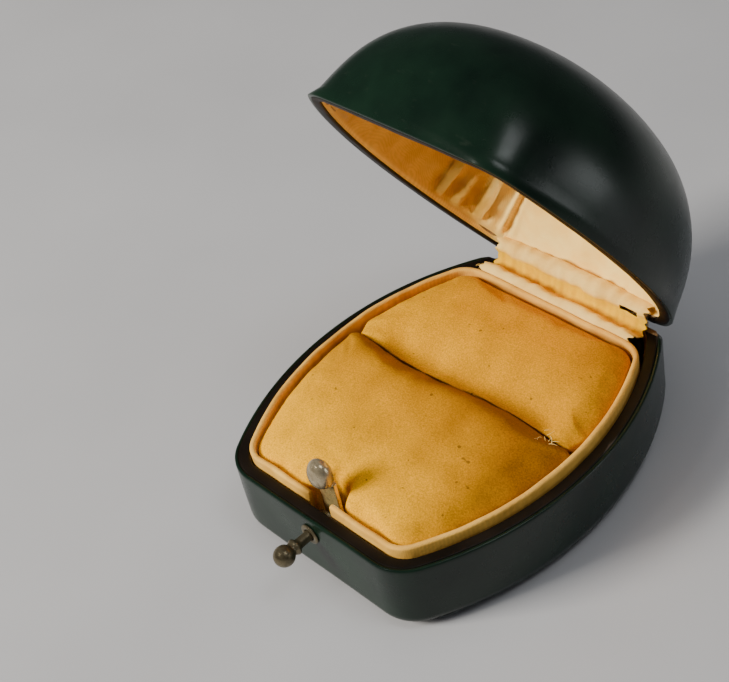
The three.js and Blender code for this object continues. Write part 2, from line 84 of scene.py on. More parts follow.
# Plan of the box, as in the solid model
FRONT_WIDTH = 30.5
REAR_WIDTH = 27.2
SIDE_BULGE = 9.1
CORNER_RADIUS = 6.4
SHUT_GAP = 0.35
LID_RIM = RIM + SHUT_GAP
BEVEL = radians(46)
BEVEL_CLEARANCE = 0.02

# Underside of the catch's head
HOOK_Z = RIM + 3.6

# Dome of the lid
DOME_HEIGHT = 19.9
DOME_RISE_POWER = 2.37
DOME_SHRINK_POWER = 2.5
DOME_PLAN_POWER = 2.1
DOME_PLAN_BLEND = 0.5
DOME_RIM_BLEND = 0.12
DOME_LEAN = -2.6
DOME_MIDDLE_Y = -2

# Thicknesses, and how far pieces lie in from the outer wall
LEATHER = 0.5
FACING = 0.35
WALL = 2.05
BOTTOM_RADIUS = 1.7
UNDER_LAP = 3
COLLAR_INSET = 2.35
COLLAR_THICK = 0.75
COLLAR_REAR_EXTRA = 4.5
PAD_INSET = 3.2
PAD_LIMIT = PAD_INSET - 0.04
LINING_BACK = 2.0
LINING_FACE = 2.15
LINING_REAR_EXTRA = 1.7

# Half the collar's gap for the catch, low down and at the top
GAP_HALF = 2.9
GAP_HALF_TOP = 2.05
# Notch in the pad for the catch
NOTCH_DEPTH = 3.7
NOTCH_HALF = 2.7
# Pocket in the lid's lining for the catch's head
POCKET_BACK_Y = -25.4
POCKET_FACE_Y = -25.25
POCKET_HALF = (2.6, 4.2)
POCKET_TOP = (RIM + 7.9, RIM + 9.4)

# Cloth simulation of the pad, run on an enlarged copy
SIM_SCALE = 12.0
SIM_FRAMES = 20
PAD_VOXEL = 0.55
PAD_PRESSURE = 4.0
PAD_MOVE_CAP = 0.45


# ---- mesh helpers ----

def add_object(name, data):
    thing = bpy.data.objects.new(name, data)
    bpy.context.collection.objects.link(thing)
    return thing


def new_piece(name, points, faces, body, *replaced, slot=None):
    """A mesh object from points in millimetres, which rides on a body and replaces CAD nodes."""
    mesh = bpy.data.meshes.new(name)
    mesh.from_pydata([tuple(p) for p in np.asarray(points, float) * MM], [], faces)
    piece = add_object(name, mesh)
    bm = bmesh.new()
    bm.from_mesh(mesh)
    bmesh.ops.remove_doubles(bm, verts=bm.verts, dist=0.001 * MM)
    bmesh.ops.dissolve_degenerate(bm, edges=bm.edges, dist=0.0005 * MM)
    bmesh.ops.recalc_face_normals(bm, faces=bm.faces)
    bm.to_mesh(mesh)
    bm.free()
    mesh.polygons.foreach_set("use_smooth", [True] * len(mesh.polygons))
    if body:
        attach(piece, body)
    if replaced:
        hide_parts(*replaced)
    return piece


def ring_faces(rows, count, closed_rows=False, closed_ring=True):
    """Quads of a grid of rows, each a ring of count points."""
    faces = []
    last = rows if closed_rows else rows - 1
    around = count if closed_ring else count - 1
    for r in range(last):
        lower = r * count
        upper = (r + 1) % rows * count
        for i in range(around):
            j = (i + 1) % count
            faces.append((lower + i, lower + j, upper + j, upper + i))
    return faces


def smoothstep(value, low, high):
    t = np.clip((value - low) / (high - low), 0, 1)
    return t * t * (3 - 2 * t)


def arc(centre, radius, start, end, steps):
    angles = np.linspace(start, end, steps + 1)
    return np.column_stack([centre[0] + radius * np.cos(angles), centre[1] + radius * np.sin(angles)])


def outline(inset, rear_inset=None, fine=1.0):
    """Anticlockwise points of the plan, drawn in by inset, and by rear_inset at the rear."""
    rear_inset = inset if rear_inset is None else rear_inset
    a = np.array([FRONT_WIDTH / 2, -DEPTH / 2])
    b = np.array([REAR_WIDTH / 2, DEPTH / 2])
    half = np.linalg.norm(b - a) / 2
    radius = (half * half + SIDE_BULGE * SIDE_BULGE) / (2 * SIDE_BULGE)
    chord = (b - a) / (2 * half)
    centre = (a + b) / 2 + np.array([chord[1], -chord[0]]) * (SIDE_BULGE - radius)
    corner = max(CORNER_RADIUS - inset, 0.4)
    reach = radius - inset - corner

    def corner_at(y):
        return np.array([centre[0] + sqrt(reach ** 2 - (y - centre[1]) ** 2), y])

    front = corner_at(-DEPTH / 2 + inset + corner)
    rear = corner_at(DEPTH / 2 - rear_inset - corner)
    front_angle = atan2(*(front - centre)[::-1])
    rear_angle = atan2(*(rear - centre)[::-1])
    steps = [ceil(n * fine) for n in (10, 10, 44, 10, 10)]
    front_y, rear_y = front[1] - corner, rear[1] + corner
    right = np.vstack([
        np.column_stack([np.linspace(0, front[0], steps[0] + 1)[:-1], np.full(steps[0], front_y)]),
        arc(front, corner, -pi / 2, front_angle, steps[1])[:-1],
        arc(centre, radius - inset, front_angle, rear_angle, steps[2])[:-1],
        arc(rear, corner, rear_angle, pi / 2, steps[3])[:-1],
        np.column_stack([np.linspace(rear[0], 0, steps[4] + 1), np.full(steps[4] + 1, rear_y)]),
    ])
    left = right[1:-1][::-1] * (-1, 1)
    return np.vstack([right, left])


def opened(points, angle=LID_OPEN):
    """Points of the shut lid, turned back about the hinge to where the lid rests."""
    dy, dz = points[:, 1] - AXIS_Y, points[:, 2] - AXIS_Z
    c, s = cos(angle), sin(angle)
    return np.column_stack([points[:, 0], AXIS_Y + dy * c + dz * s, AXIS_Z - dy * s + dz * c])


def bevel_drop(y, softness=0.25):
    """How far the bevel behind the hinge lies below the hinge's axis, with a rounded start."""
    behind = y - AXIS_Y
    return tan(BEVEL) * (np.sqrt(behind ** 2 + softness ** 2) + behind) / 2


def base_limit(y):
    """Height of the base's top over its bevel: the rim, falling behind the hinge."""
    before = smoothstep(AXIS_Y - y, 0.1, 1.5)
    return AXIS_Z + BEVEL_CLEARANCE - bevel_drop(y) + (RIM - AXIS_Z) * before


def base_band(profile):
    """Rings of [inset, z] round the plan, lowered to the bevel behind the hinge."""
    rows = []
    for inset, z in profile:
        plan = outline(inset)
        share = np.minimum((base_limit(plan[:, 1]) - UNDERSIDE_TOP) / (RIM - UNDERSIDE_TOP), 1)
        heights = UNDERSIDE_TOP + (z - UNDERSIDE_TOP) * share
        rows.append(np.column_stack([plan, heights]))
    return rows


def clear_barrel(row):
    """Moves the part of a mating face that is in the way of the hinge's barrel to the rear."""
    hinge = smoothstep(-np.abs(row[:, 0]), -HINGE_HALF - 0.7, -HINGE_HALF - 0.3)
    least = AXIS_Y + 0.95
    in_way = (row[:, 1] > AXIS_Y - 2) & (row[:, 1] < least)
    row[:, 1] = np.where(in_way, row[:, 1] + (least - row[:, 1]) * hinge, row[:, 1])


def band_piece(name, rows, body, *replaced, slot=None):
    count = len(rows[0])
    return new_piece(name, np.vstack(rows), ring_faces(len(rows), count, True), body, *replaced, slot=slot)


def turned_piece(name, profile, body, *replaced, slot=None):
    """Closed profile of [radius, y] turned about the button's axis."""
    sides = 64
    angles = np.linspace(0, 2 * pi, sides, endpoint=False)
    rows = [np.column_stack([r * np.cos(angles), np.full(sides, y), BUTTON_Z + r * np.sin(angles)])
            for r, y in profile]
    return band_piece(name, rows, body, *replaced, slot=slot)


def mesh_points(mesh):
    """A mesh's points in its own units, one to a row."""
    flat = np.empty(len(mesh.vertices) * 3)
    mesh.vertices.foreach_get("co", flat)
    return flat.reshape(-1, 3)


def set_tone(piece, tone_at):
    """Stores the tone that the velvet and the silks read; tone_at takes points in millimetres."""
    mesh = piece.data
    tone = tone_at(mesh_points(mesh) / MM)
    mesh.attributes.new("tone", "FLOAT", "POINT").data.foreach_set("value", tone.astype(np.float32))


def subdivide(piece):
    modifier = piece.modifiers.new("subdivision", "SUBSURF")
    modifier.levels = modifier.render_levels = 1


def thicken(piece, thickness):
    """Turns a bare sheet into cloth of the given thickness in millimetres."""
    solid = piece.modifiers.new("thickness", "SOLIDIFY")
    solid.thickness = thickness * MM
    solid.offset = 0
    bpy.context.view_layer.update()
    evaluated = piece.evaluated_get(bpy.context.evaluated_depsgraph_get())
    mesh = bpy.data.meshes.new_from_object(evaluated)
    piece.modifiers.clear()
    piece.data = mesh


def waves(x, y, size, seed, count=6):
    """Smooth random ripple between about -1 and 1, with features of the given size in mm."""
    draws = np.random.default_rng(seed)
    total = 0
    for _ in range(count):
        angle, phase = draws.uniform(0, 2 * pi, 2)
        stretch = draws.uniform(0.7, 1.5)
        total += np.sin((x * cos(angle) + y * sin(angle)) * 2 * pi / (size * stretch) + phase)
    return total / sqrt(count)


# ---- materials ----

class Finish:
    """A procedural material on a Principled shader; sizes of features are in millimetres."""

    def __init__(self, name, **constants):
        self.material = bpy.data.materials.new(name)
        self.material.use_nodes = True
        self.tree = self.material.node_tree
        self.shader = self.tree.nodes["Principled BSDF"]
        self.coordinates = self.tree.nodes.new("ShaderNodeTexCoord").outputs["Object"]
        self.normal = None
        for socket, value in constants.items():
            self.shader.inputs[socket.replace("_", " ")].default_value = value

    def node(self, kind, **settings):
        node = self.tree.nodes.new(kind)
        for key, value in settings.items():
            setattr(node, key, value)
        return node

    def link(self, source, socket):
        self.tree.links.new(source, socket)

    def stretched(self, scale):
        mapping = self.node("ShaderNodeMapping")
        mapping.inputs["Scale"].default_value = scale
        self.link(self.coordinates, mapping.inputs["Vector"])
        return mapping.outputs["Vector"]

    def noise(self, size, detail=3.0, rough=0.5, stretch=(1, 1, 1), distortion=0.0):
        node = self.node("ShaderNodeTexNoise")
        settings = {"Scale": 1 / (size * MM), "Detail": detail, "Roughness": rough, "Distortion": distortion}
        for socket, value in settings.items():
            node.inputs[socket].default_value = value
        self.link(self.stretched(stretch), node.inputs["Vector"])
        return node.outputs["Fac"]

    def cells(self, size):
        """How far a place is from the seams between cells."""
        node = self.node("ShaderNodeTexVoronoi", feature="DISTANCE_TO_EDGE")
        node.inputs["Scale"].default_value = 1 / (size * MM)
        self.link(self.coordinates, node.inputs["Vector"])
        return node.outputs["Distance"]

    def threads(self, size, direction):
        node = self.node("ShaderNodeTexWave", wave_type="BANDS", bands_direction=direction)
        node.inputs["Scale"].default_value = 1 / (size * MM) / 20 * 2 * pi
        node.inputs["Distortion"].default_value = 0.6
        node.inputs["Detail"].default_value = 1
        self.link(self.coordinates, node.inputs["Vector"])
        return node.outputs["Fac"]

    def ramp(self, value, *stops):
        node = self.node("ShaderNodeValToRGB")
        elements = node.color_ramp.elements
        while len(elements) < len(stops):
            elements.new(0.5)
        for element, (position, color) in zip(elements, stops):
            element.position = position
            element.color = (*color, 1) if isinstance(color, tuple) else (color, color, color, 1)
        self.link(value, node.inputs["Fac"])
        return node.outputs["Color"]

    def feed(self, socket, value):
        """Links another node's output to a socket, or sets the socket to a colour or a number."""
        if isinstance(value, bpy.types.NodeSocket):
            self.link(value, socket)
        else:
            socket.default_value = (*value, 1) if isinstance(value, tuple) else value

    def mix(self, factor, first, second, blend="MIX"):
        node = self.node("ShaderNodeMix", data_type="RGBA", blend_type=blend)
        for index, value in ((0, factor), (6, first), (7, second)):
            self.feed(node.inputs[index], value)
        return node.outputs[2]

    def math(self, operation, first, second):
        node = self.node("ShaderNodeMath", operation=operation)
        self.feed(node.inputs[0], first)
        self.feed(node.inputs[1], second)
        return node.outputs[0]

    def place(self, axis):
        """The object's own coordinate along an axis, in millimetres."""
        node = self.node("ShaderNodeSeparateXYZ")
        self.link(self.coordinates, node.inputs[0])
        return self.math("MULTIPLY", node.outputs[axis], 1 / MM)

    def bump(self, height, depth, strength=1.0):
        node = self.node("ShaderNodeBump")
        node.inputs["Strength"].default_value = strength
        node.inputs["Distance"].default_value = depth * MM
        self.link(height, node.inputs["Height"])
        if self.normal:
            self.link(self.normal, node.inputs["Normal"])
        self.normal = node.outputs["Normal"]
        self.link(self.normal, self.shader.inputs["Normal"])

    def convex_edges(self):
        """1 along convex edges, 0 on flats."""
        geometry = self.node("ShaderNodeNewGeometry")
        return self.ramp(geometry.outputs["Pointiness"], (0.56, 0.0), (0.66, 1.0))

    def color(self, socket):
        self.link(socket, self.shader.inputs["Base Color"])

    def roughness(self, value, low, high):
        node = self.node("ShaderNodeMapRange")
        node.inputs["To Min"].default_value = low
        node.inputs["To Max"].default_value = high
        self.link(value, node.inputs["Value"])
        self.link(node.outputs["Result"], self.shader.inputs["Roughness"])

    def on(self, *pieces):
        for piece in pieces:
            piece.data.materials.clear()
            piece.data.materials.append(self.material)


def green_leather():
    f = Finish("green_leather", Roughness=0.3, Coat_Weight=0.12, Coat_Roughness=0.2, Specular_IOR_Level=0.25)
    patches = f.ramp(f.noise(9, 4), (0.3, (0.0025, 0.008, 0.005)), (0.7, (0.006, 0.018, 0.010)))
    # Lighter colour along convex edges.
    edge_lightened = f.mix(f.convex_edges(), patches, (0.040, 0.052, 0.034))
    scuffs = f.ramp(f.noise(2.2, 6, 0.7, (1, 3, 1)), (0.62, 0.0), (0.75, 1.0))
    f.color(f.mix(f.math("MULTIPLY", scuffs, 0.15), edge_lightened, (0.05, 0.06, 0.045)))
    f.roughness(f.noise(4, 5, 0.6), 0.2, 0.38)
    f.bump(f.cells(0.55), 0.02, 0.35)
    f.bump(f.noise(5, 3), 0.12, 0.25)
    f.bump(f.noise(0.25, 3), 0.01, 0.3)
    return f


def black_leather():
    f = Finish("black_leather", Roughness=0.5, Specular_IOR_Level=0.25)
    patches = f.ramp(f.noise(6, 5), (0.35, (0.004, 0.003, 0.002)), (0.7, (0.010, 0.007, 0.005)))
    # Lighter colour along convex edges.
    f.color(f.mix(f.convex_edges(), patches, (0.05, 0.04, 0.03)))
    f.roughness(f.noise(2.5, 5, 0.6), 0.45, 0.7)
    f.bump(f.cells(0.4), 0.015, 0.3)
    f.bump(f.noise(3, 4), 0.08, 0.3)
    return f


def velvet():
    """Short pile; the mesh's tone attribute carries painted light and shade: bright ochre where the light
    falls, darker brown in shade.
    """
    f = Finish("ochre_velvet", Roughness=0.95, Sheen_Weight=0.06, Sheen_Roughness=0.4,
               Sheen_Tint=(1.0, 0.55, 0.12, 1), Specular_IOR_Level=0.1)
    attribute = f.node("ShaderNodeAttribute", attribute_name="tone")
    # Painted light: the tone ramp runs from shaded dark brown to lit bright ochre.
    lit_and_shaded = f.ramp(attribute.outputs["Fac"], (0.0, (0.36, 0.135, 0.002)), (0.5, (0.72, 0.325, 0.004)),
                    (1.0, (0.98, 0.47, 0.002)))
    patches = f.ramp(f.noise(7, 4, 0.55, distortion=0.6), (0.3, 0.88), (0.72, 1.08))
    light_and_nap = f.mix(1.0, lit_and_shaded, patches, "MULTIPLY")
    pile = f.ramp(f.noise(0.22, 3, 0.7), (0.3, 0.58), (0.7, 1.12))
    fibres = f.mix(1.0, light_and_nap, pile, "MULTIPLY")
    specks = f.ramp(f.noise(1.1, 1), (0.745, 0.0), (0.78, 1.0))
    f.color(f.mix(f.math("MULTIPLY", specks, 0.7), fibres, (0.12, 0.05, 0.012)))
    f.bump(f.noise(0.16, 3, 0.7), 0.09, 0.6)
    f.bump(f.noise(1.6, 4), 0.15, 0.35)
    return f


def silk(name, dark, light, other_dark, other_light, sheen, thread=0.16):
    """Satin in two tones; the mesh's tone attribute says how much of the other one shows."""
    f = Finish(name, Roughness=0.42, Sheen_Weight=0.25, Sheen_Roughness=0.3, Sheen_Tint=(*sheen, 1),
               Anisotropic=0.5, Specular_IOR_Level=0.35)
    blotch = f.noise(5, 4, 0.6, distortion=0.5)
    attribute = f.node("ShaderNodeAttribute", attribute_name="tone")
    tone = f.mix(attribute.outputs["Fac"], f.ramp(blotch, (0.3, dark), (0.7, light)),
                 f.ramp(blotch, (0.3, other_dark), (0.7, other_light)))
    weave = f.ramp(f.threads(thread, "X"), (0.0, 0.93), (1.0, 1.04))
    f.color(f.mix(1.0, tone, weave, "MULTIPLY"))
    f.roughness(f.noise(3, 4), 0.34, 0.55)
    f.bump(f.threads(thread, "X"), 0.015, 0.4)
    f.bump(f.threads(thread * 1.4, "Z"), 0.012, 0.3)
    f.bump(f.noise(1.6, 5, 0.6, (0.6, 2.2, 2.2)), 0.16, 0.6)
    return f


def metal(name, dark, light, tarnish, low=0.22, high=0.5, lower=None, change_z=0.0):
    """Patinated metal; where a colour called lower is given, it has that below change_z (in mm). On the
    catch, that pale brass neck colour is partly a painted reflection of its bright surroundings.
    """
    f = Finish(name, Metallic=0.7 if lower else 0.8, Roughness=0.3)
    tone = f.ramp(f.noise(1.4, 5, 0.6), (0.35, dark), (0.65, light))
    if lower:
        above = f.ramp(f.math("SUBTRACT", f.place("Z"), change_z - 0.5), (0.35, 0.0), (0.65, 1.0))
        tone = f.mix(above, lower, tone)
    spots = f.ramp(f.noise(0.7, 5, 0.65), (0.5, 0.0), (0.68, 1.0))
    f.color(f.mix(f.math("MULTIPLY", spots, 0.65), tone, tarnish))
    f.roughness(f.noise(0.5, 5, 0.6), low, high)
    f.bump(f.noise(0.18, 3, stretch=(4, 1, 1)), 0.01, 0.35)
    f.bump(f.noise(0.9, 3), 0.03, 0.2)
    return f


def wood():
    f = Finish("carcass_wood", Roughness=0.7)
    grain = f.noise(1.2, 6, 0.6, (1, 0.08, 1), 0.4)
    f.color(f.ramp(grain, (0.3, (0.17, 0.09, 0.04)), (0.7, (0.42, 0.27, 0.14))))
    f.bump(f.noise(0.4, 4, stretch=(1, 0.06, 1)), 0.05, 0.5)
    return f


def card(name, dark, light):
    f = Finish(name, Roughness=0.85)
    f.color(f.ramp(f.noise(0.8, 6, 0.7), (0.3, dark), (0.7, light)))
    f.bump(f.noise(0.3, 5, 0.7), 0.04, 0.5)
    return f


# ---- base ----

def bottom_edge(inset, z):
    """Quarter round from the flat underneath up to the wall, as [inset, z]."""
    radius = BOTTOM_RADIUS - inset
    return [(inset + radius * (1 - cos(a)), z + radius * (1 - sin(a)))
            for a in np.linspace(pi / 2, 0, 9)]


def base_leather():
    low = UNDERSIDE_TOP + 0.05
    top = RIM - 0.02
    outer = bottom_edge(0, low)
    lip = [(0, top - 0.4), (0.03, top - 0.15), (0.14, top - 0.02), (0.3, top), (LEATHER - 0.02, top - 0.04)]
    inner = [(LEATHER, top - 0.3), *bottom_edge(LEATHER, low + LEATHER)[::-1]]
    wall = [(0, z) for z in np.linspace(2.4, top - 0.8, 8)]
    rows = base_band([(UNDER_LAP, low), *outer, *wall, *lip, *inner, (UNDER_LAP, low + LEATHER)])
    for row in rows:
        row[:, :2] *= 1 + 0.0004 * waves(row[:, 0], row[:, 1] + 3 * row[:, 2], 14, 3)[:, None]
    return band_piece("base_leather_skin", rows, "base", "base_leather", slot="green_leather")


def base_facing():
    """Flat mating face, which follows the bevel at the rear and leaves room for the hinge's barrel."""
    profile = [(0.56, RIM - FACING), (0.54, RIM - 0.1), (0.62, RIM - 0.01), (0.8, RIM + 0.01), (1.3, RIM),
               (1.8, RIM + 0.01), (WALL - 0.08, RIM - 0.01), (WALL, RIM - 0.1), (WALL, RIM - FACING)]
    rows = base_band(profile)
    for row in rows:
        clear_barrel(row)
        row[:, 2] += 0.02 * waves(row[:, 0], row[:, 1], 7, 11)
        row[:, 2] = np.minimum(row[:, 2], base_limit(row[:, 1]))
    return band_piece("base_rim_face", rows, "base", "base_rim_facing", slot="black_leather")


def underside():
    """Flat card panel under the base, with rounded edges."""
    profile = [(1.45, UNDERSIDE_TOP), (1.25, UNDERSIDE_TOP - 0.08), (1.2, 0.2), (1.28, 0.06), (1.45, 0)]
    rows = []
    for inset, z in profile:
        plan = outline(inset)
        rows.append(np.column_stack([plan, np.full(len(plan), z)]))
    count = len(rows[0])
    faces = ring_faces(len(rows), count)
    faces += [tuple(range(count)), tuple(range((len(rows) - 1) * count, len(rows) * count))]
    return new_piece("underside_panel", np.vstack(rows), faces, "base", "base_underside", slot="black_paper")


def open_run(profile):
    """The collar's band round the plan, open at the front's middle for the catch."""
    rows = []
    for inset, z in profile:
        plan = outline(inset, inset + COLLAR_REAR_EXTRA)
        keep = ~((np.abs(plan[:, 0]) < GAP_HALF) & (plan[:, 1] < 0))
        start = int(np.argmax(keep))
        kept = np.roll(plan, -start, axis=0)[: keep.sum()]
        half = GAP_HALF + (GAP_HALF_TOP - GAP_HALF) * smoothstep(z, RIM - 3, RIM - 1.5)
        kept[0, 0], kept[-1, 0] = half, -half
        rows.append(np.column_stack([kept, np.full(len(kept), z)]))
    count = len(rows[0])
    faces = ring_faces(len(rows), count, True, False)
    faces.append(tuple(r * count for r in range(len(rows))))
    faces.append(tuple(r * count + count - 1 for r in reversed(range(len(rows)))))
    return np.vstack(rows), faces


def collar():
    """Thin upright collar with a rounded top, a little uneven where it stands proud."""
    inner = COLLAR_INSET + COLLAR_THICK
    top = [(COLLAR_INSET + COLLAR_THICK * (0.5 - 0.5 * cos(a)), COLLAR_TOP - 0.3 + 0.3 * sin(a))
           for a in np.linspace(0, pi, 9)]
    sides = np.linspace(COLLAR_FOOT, COLLAR_TOP - 0.6, 5)
    profile = [*((COLLAR_INSET, z) for z in sides), *top, *((inner, z) for z in sides[::-1])]
    points, faces = open_run(profile)
    high = smoothstep(points[:, 2], RIM - 1, COLLAR_TOP)
    for axis, size, seed in ((0, 9, 21), (1, 8, 22), (2, 6, 23)):
        points[:, axis] += 0.05 * high * waves(points[:, 0], points[:, 1], size, seed)
    return new_piece("collar_cover", points, faces, "base", "collar", slot="cream_silk")


# ---- ring pad ----

def slot_bow(x):
    """The slot isn't quite straight."""
    return 0.55 * np.sin(pi * x / 17) * (1 - smoothstep(np.abs(x), 13, 17))


SLOT_MIDDLE = (SLOT_FRONT + SLOT_REAR) / 2 - 0.15


def half_plan(front):
    """Outline of one half of the pad, with the slot's edge and, in front, a notch for the catch."""
    plan = outline(PAD_INSET, PAD_INSET + COLLAR_REAR_EXTRA, 0.8)
    kept = plan[plan[:, 1] < SLOT_FRONT - 0.4] if front else plan[plan[:, 1] > SLOT_REAR + 0.4]
    width = np.abs(kept[:, 0]).max()
    xs = np.linspace(-width, width, 40)[1:-1][::-1 if front else 1]
    line = np.column_stack([xs, slot_bow(xs) + (SLOT_FRONT - 0.1 if front else SLOT_REAR + 0.1)])
    if front:
        split = int(np.argmax(kept[:, 0] < 0))
        kept[:, 1] += NOTCH_DEPTH * np.exp(-(kept[:, 0] / NOTCH_HALF) ** 6) * (kept[:, 1] < 0)
        return np.vstack([kept[:split], line, kept[split:]])
    return np.vstack([kept, line])


def pad_top(x, y, front):
    """Height of the velvet: the front half rises to the slot, the rear half falls to it."""
    y = y - slot_bow(x)
    span = np.clip(1 - (x / 20.5) ** 2, 0, 1)
    if front:
        ridge = 1.5 * np.exp(-((y + 2.6) / 4.5) ** 2) - 1.0 * np.exp(-((y - SLOT_FRONT) / 1.1) ** 2)
        belly = 0.8 * np.exp(-((y + 13) / 8.5) ** 2)
        return RIM + 1.6 + (ridge + belly) * span ** 0.7
    dip = 2.9 * np.exp(-((y - SLOT_REAR) / 4.6) ** 2) * smoothstep(-np.abs(x), -19.5, -12)
    return RIM + 1.6 + 0.6 * span ** 0.7 - dip


def pad_mesh(front):
    """One half of the pad before it is swelled: upright walls that lean to the slot, and a domed top."""
    plan = half_plan(front)
    centre = np.array([0, (plan[:, 1].max() + plan[:, 1].min()) / 2])
    low = PAD_FOOT + 0.05
    edge_z = RIM + 0.4
    rows = [np.column_stack([centre + (plan - centre) * 0.5, np.full(len(plan), low)]),
            np.column_stack([centre + (plan - centre) * 0.97, np.full(len(plan), low)])]
    at_slot = np.abs(plan[:, 1] - slot_bow(plan[:, 0]) - SLOT_MIDDLE) < 1.2
    towards_slot = 0.85 if front else -1.2
    for z in np.linspace(low + 0.4, edge_z, 12):
        level = np.column_stack([plan, np.full(len(plan), z)])
        level[:, 1] += at_slot * towards_slot * smoothstep(z, RIM - 1.3, RIM + 0.2)
        rows.append(level)
    top_plan = rows[-1][:, :2]
    for out in np.sin(np.linspace(pi / 2, 0, 16))[1:-1]:
        spot = centre + (top_plan - centre) * out
        lift = (1 - out ** 7) ** 0.6
        height = pad_top(spot[:, 0], spot[:, 1], front)
        rows.append(np.column_stack([spot, edge_z + (height - edge_z) * lift]))
    points = np.vstack(rows)
    count = len(plan)
    top = np.array([*centre, float(pad_top(centre[0], centre[1], front))])
    points = np.vstack([points, [*centre, low], top])
    faces = ring_faces(len(rows), count)
    last = (len(rows) - 1) * count
    for i in range(count):
        j = (i + 1) % count
        faces.append((len(points) - 2, j, i))
        faces.append((last + i, last + j, len(points) - 1))
    return points, faces


def inflate(piece):
    """Swells a pad by cloth simulation at a larger size; its foot is pinned and its movement capped."""
    bpy.context.view_layer.objects.active = piece
    piece.data.transform(Matrix.Scale(SIM_SCALE, 4))
    piece.data.remesh_voxel_size = PAD_VOXEL * MM * SIM_SCALE
    with bpy.context.temp_override(object=piece, active_object=piece, selected_objects=[piece]):
        bpy.ops.object.voxel_remesh()
    mesh = piece.data
    start = mesh_points(mesh)
    pins = piece.vertex_groups.new(name="pins")
    held = start[:, 2] < (RIM - 3) * MM * SIM_SCALE
    pins.add([int(i) for i in np.nonzero(held)[0]], 1.0, "REPLACE")
    cloth = piece.modifiers.new("cloth", "CLOTH")
    cloth.settings.vertex_group_mass = "pins"
    cloth.settings.use_pressure = True
    cloth.settings.uniform_pressure_force = PAD_PRESSURE
    cloth.settings.effector_weights.gravity = 0
    cloth.settings.quality = 6
    scene = bpy.context.scene
    for step in range(1, SIM_FRAMES + 1):
        scene.frame_set(step)
    evaluated = piece.evaluated_get(bpy.context.evaluated_depsgraph_get())
    after = mesh_points(evaluated.data)
    piece.modifiers.remove(cloth)
    piece.vertex_groups.remove(pins)
    scene.frame_set(1)
    move = after - start
    length = np.linalg.norm(move, axis=1)
    limit = PAD_MOVE_CAP * MM * SIM_SCALE
    move *= (limit * np.tanh(length / limit) / np.maximum(length, 1e-9))[:, None]
    start = start + move
    mesh.vertices.foreach_set("co", start.ravel())
    mesh.transform(Matrix.Scale(1 / SIM_SCALE, 4))
    mesh.polygons.foreach_set("use_smooth", [True] * len(mesh.polygons))


def keep_inside(co, front):
    """Keeps a half of the pad off the collar and the other half."""
    start = outline(PAD_LIMIT, PAD_LIMIT + COLLAR_REAR_EXTRA)
    run = np.roll(start, -1, axis=0) - start
    length = np.linalg.norm(run, axis=1)
    inward = np.column_stack([-run[:, 1], run[:, 0]]) / length[:, None]
    for _ in range(2):
        depth = ((co[:, None, :2] - start) * inward).sum(axis=2)
        nearest = depth.argmin(axis=1)
        outside = np.minimum(depth.min(axis=1), 0)
        co[:, :2] -= inward[nearest] * outside[:, None]
    middle = SLOT_MIDDLE + slot_bow(co[:, 0])
    half_gap = 0.05
    co[:, 1] = np.minimum(co[:, 1], middle - half_gap) if front else np.maximum(co[:, 1], middle + half_gap)
    return co


def velvet_light_and_shade(points, front):
    """Painted light and shade on the velvet, 0 to 1, with a little random variation: lightest at the front
    by the catch, darker brown towards the slot, the right and the rear edge.
    """
    x, y = points[:, 0], points[:, 1]
    if front:
        light = (0.82 + 0.045 * (-y - 6)) * (1 - 0.010 * (x + 4)) * (1 - 0.26 * smoothstep(x, 9, 17))
    else:
        light = 1.12 * (1 - 0.007 * (x + 8)) * (1 - 0.12 * smoothstep(y, 12, 18))
    return np.clip((light - 0.5) / 0.9 + 0.05 * waves(x, y, 8, 34), 0, 1)


def cushion(front):
    """One half of the ring pad in velvet, swelled, pulled a little at the slot and kept in its place."""
    name = "front_pad" if front else "rear_pad"
    node = "front_cushion" if front else "rear_cushion"
    points, faces = pad_mesh(front)
    piece = new_piece(name, points, faces, None)
    inflate(piece)
    mesh = piece.data
    co = mesh_points(mesh) / MM
    top = smoothstep(co[:, 2], RIM - 1, RIM + 0.5)
    near_slot = np.exp(-((co[:, 1] - (SLOT_FRONT if front else SLOT_REAR)) / 3.2) ** 2)
    pulls = waves(co[:, 0], co[:, 1] * 0.25, 4.5, 31 if front else 32)
    co[:, 2] += top * (0.05 * waves(co[:, 0], co[:, 1], 6, 33) + 0.10 * near_slot * pulls)
    co = keep_inside(co, front)
    mesh.vertices.foreach_set("co", (co * MM).ravel())
    mesh.update()
    # Painted light and shade across the velvet.
    set_tone(piece, lambda points: velvet_light_and_shade(points, front))
    subdivide(piece)
    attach(piece, "base")
    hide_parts(node)
    return piece


def slot_fold():
    """Strip of velvet folded down into the ring slot: a deep U between the pad's two halves."""
    (x0, y0, z0), (x1, y1, _) = box_mm("slot_lining")
    middle, half = (y0 + y1) / 2, (y1 - y0) / 2 - 0.12
    top = RIM - 1.5
    floor = z0 + half + 0.15
    turn = np.linspace(pi, 2 * pi, 12)
    line = np.vstack([
        np.column_stack([np.full(12, middle - half), np.linspace(top, floor, 13)[:-1]]),
        np.column_stack([middle + half * np.cos(turn), floor + half * np.sin(turn)]),
        np.column_stack([np.full(12, middle + half), np.linspace(floor, top, 13)[1:]]),
    ])
    rows = []
    for x in np.linspace(x0, x1, 80):
        y = line[:, 0] + slot_bow(x) + 0.04 * waves(x, line[:, 1], 4, 35)
        rows.append(np.column_stack([np.full(len(line), x), y, line[:, 1]]))
    piece = new_piece("slot_fold", np.vstack(rows), ring_faces(len(rows), len(line), False, False), "base",
                      "slot_lining", slot="ochre_velvet")
    thicken(piece, 0.16)
    # One even painted-light tone for the fold, a little darker than the middle of the scale.
    set_tone(piece, lambda points: np.full(len(points), 0.4))
    return piece


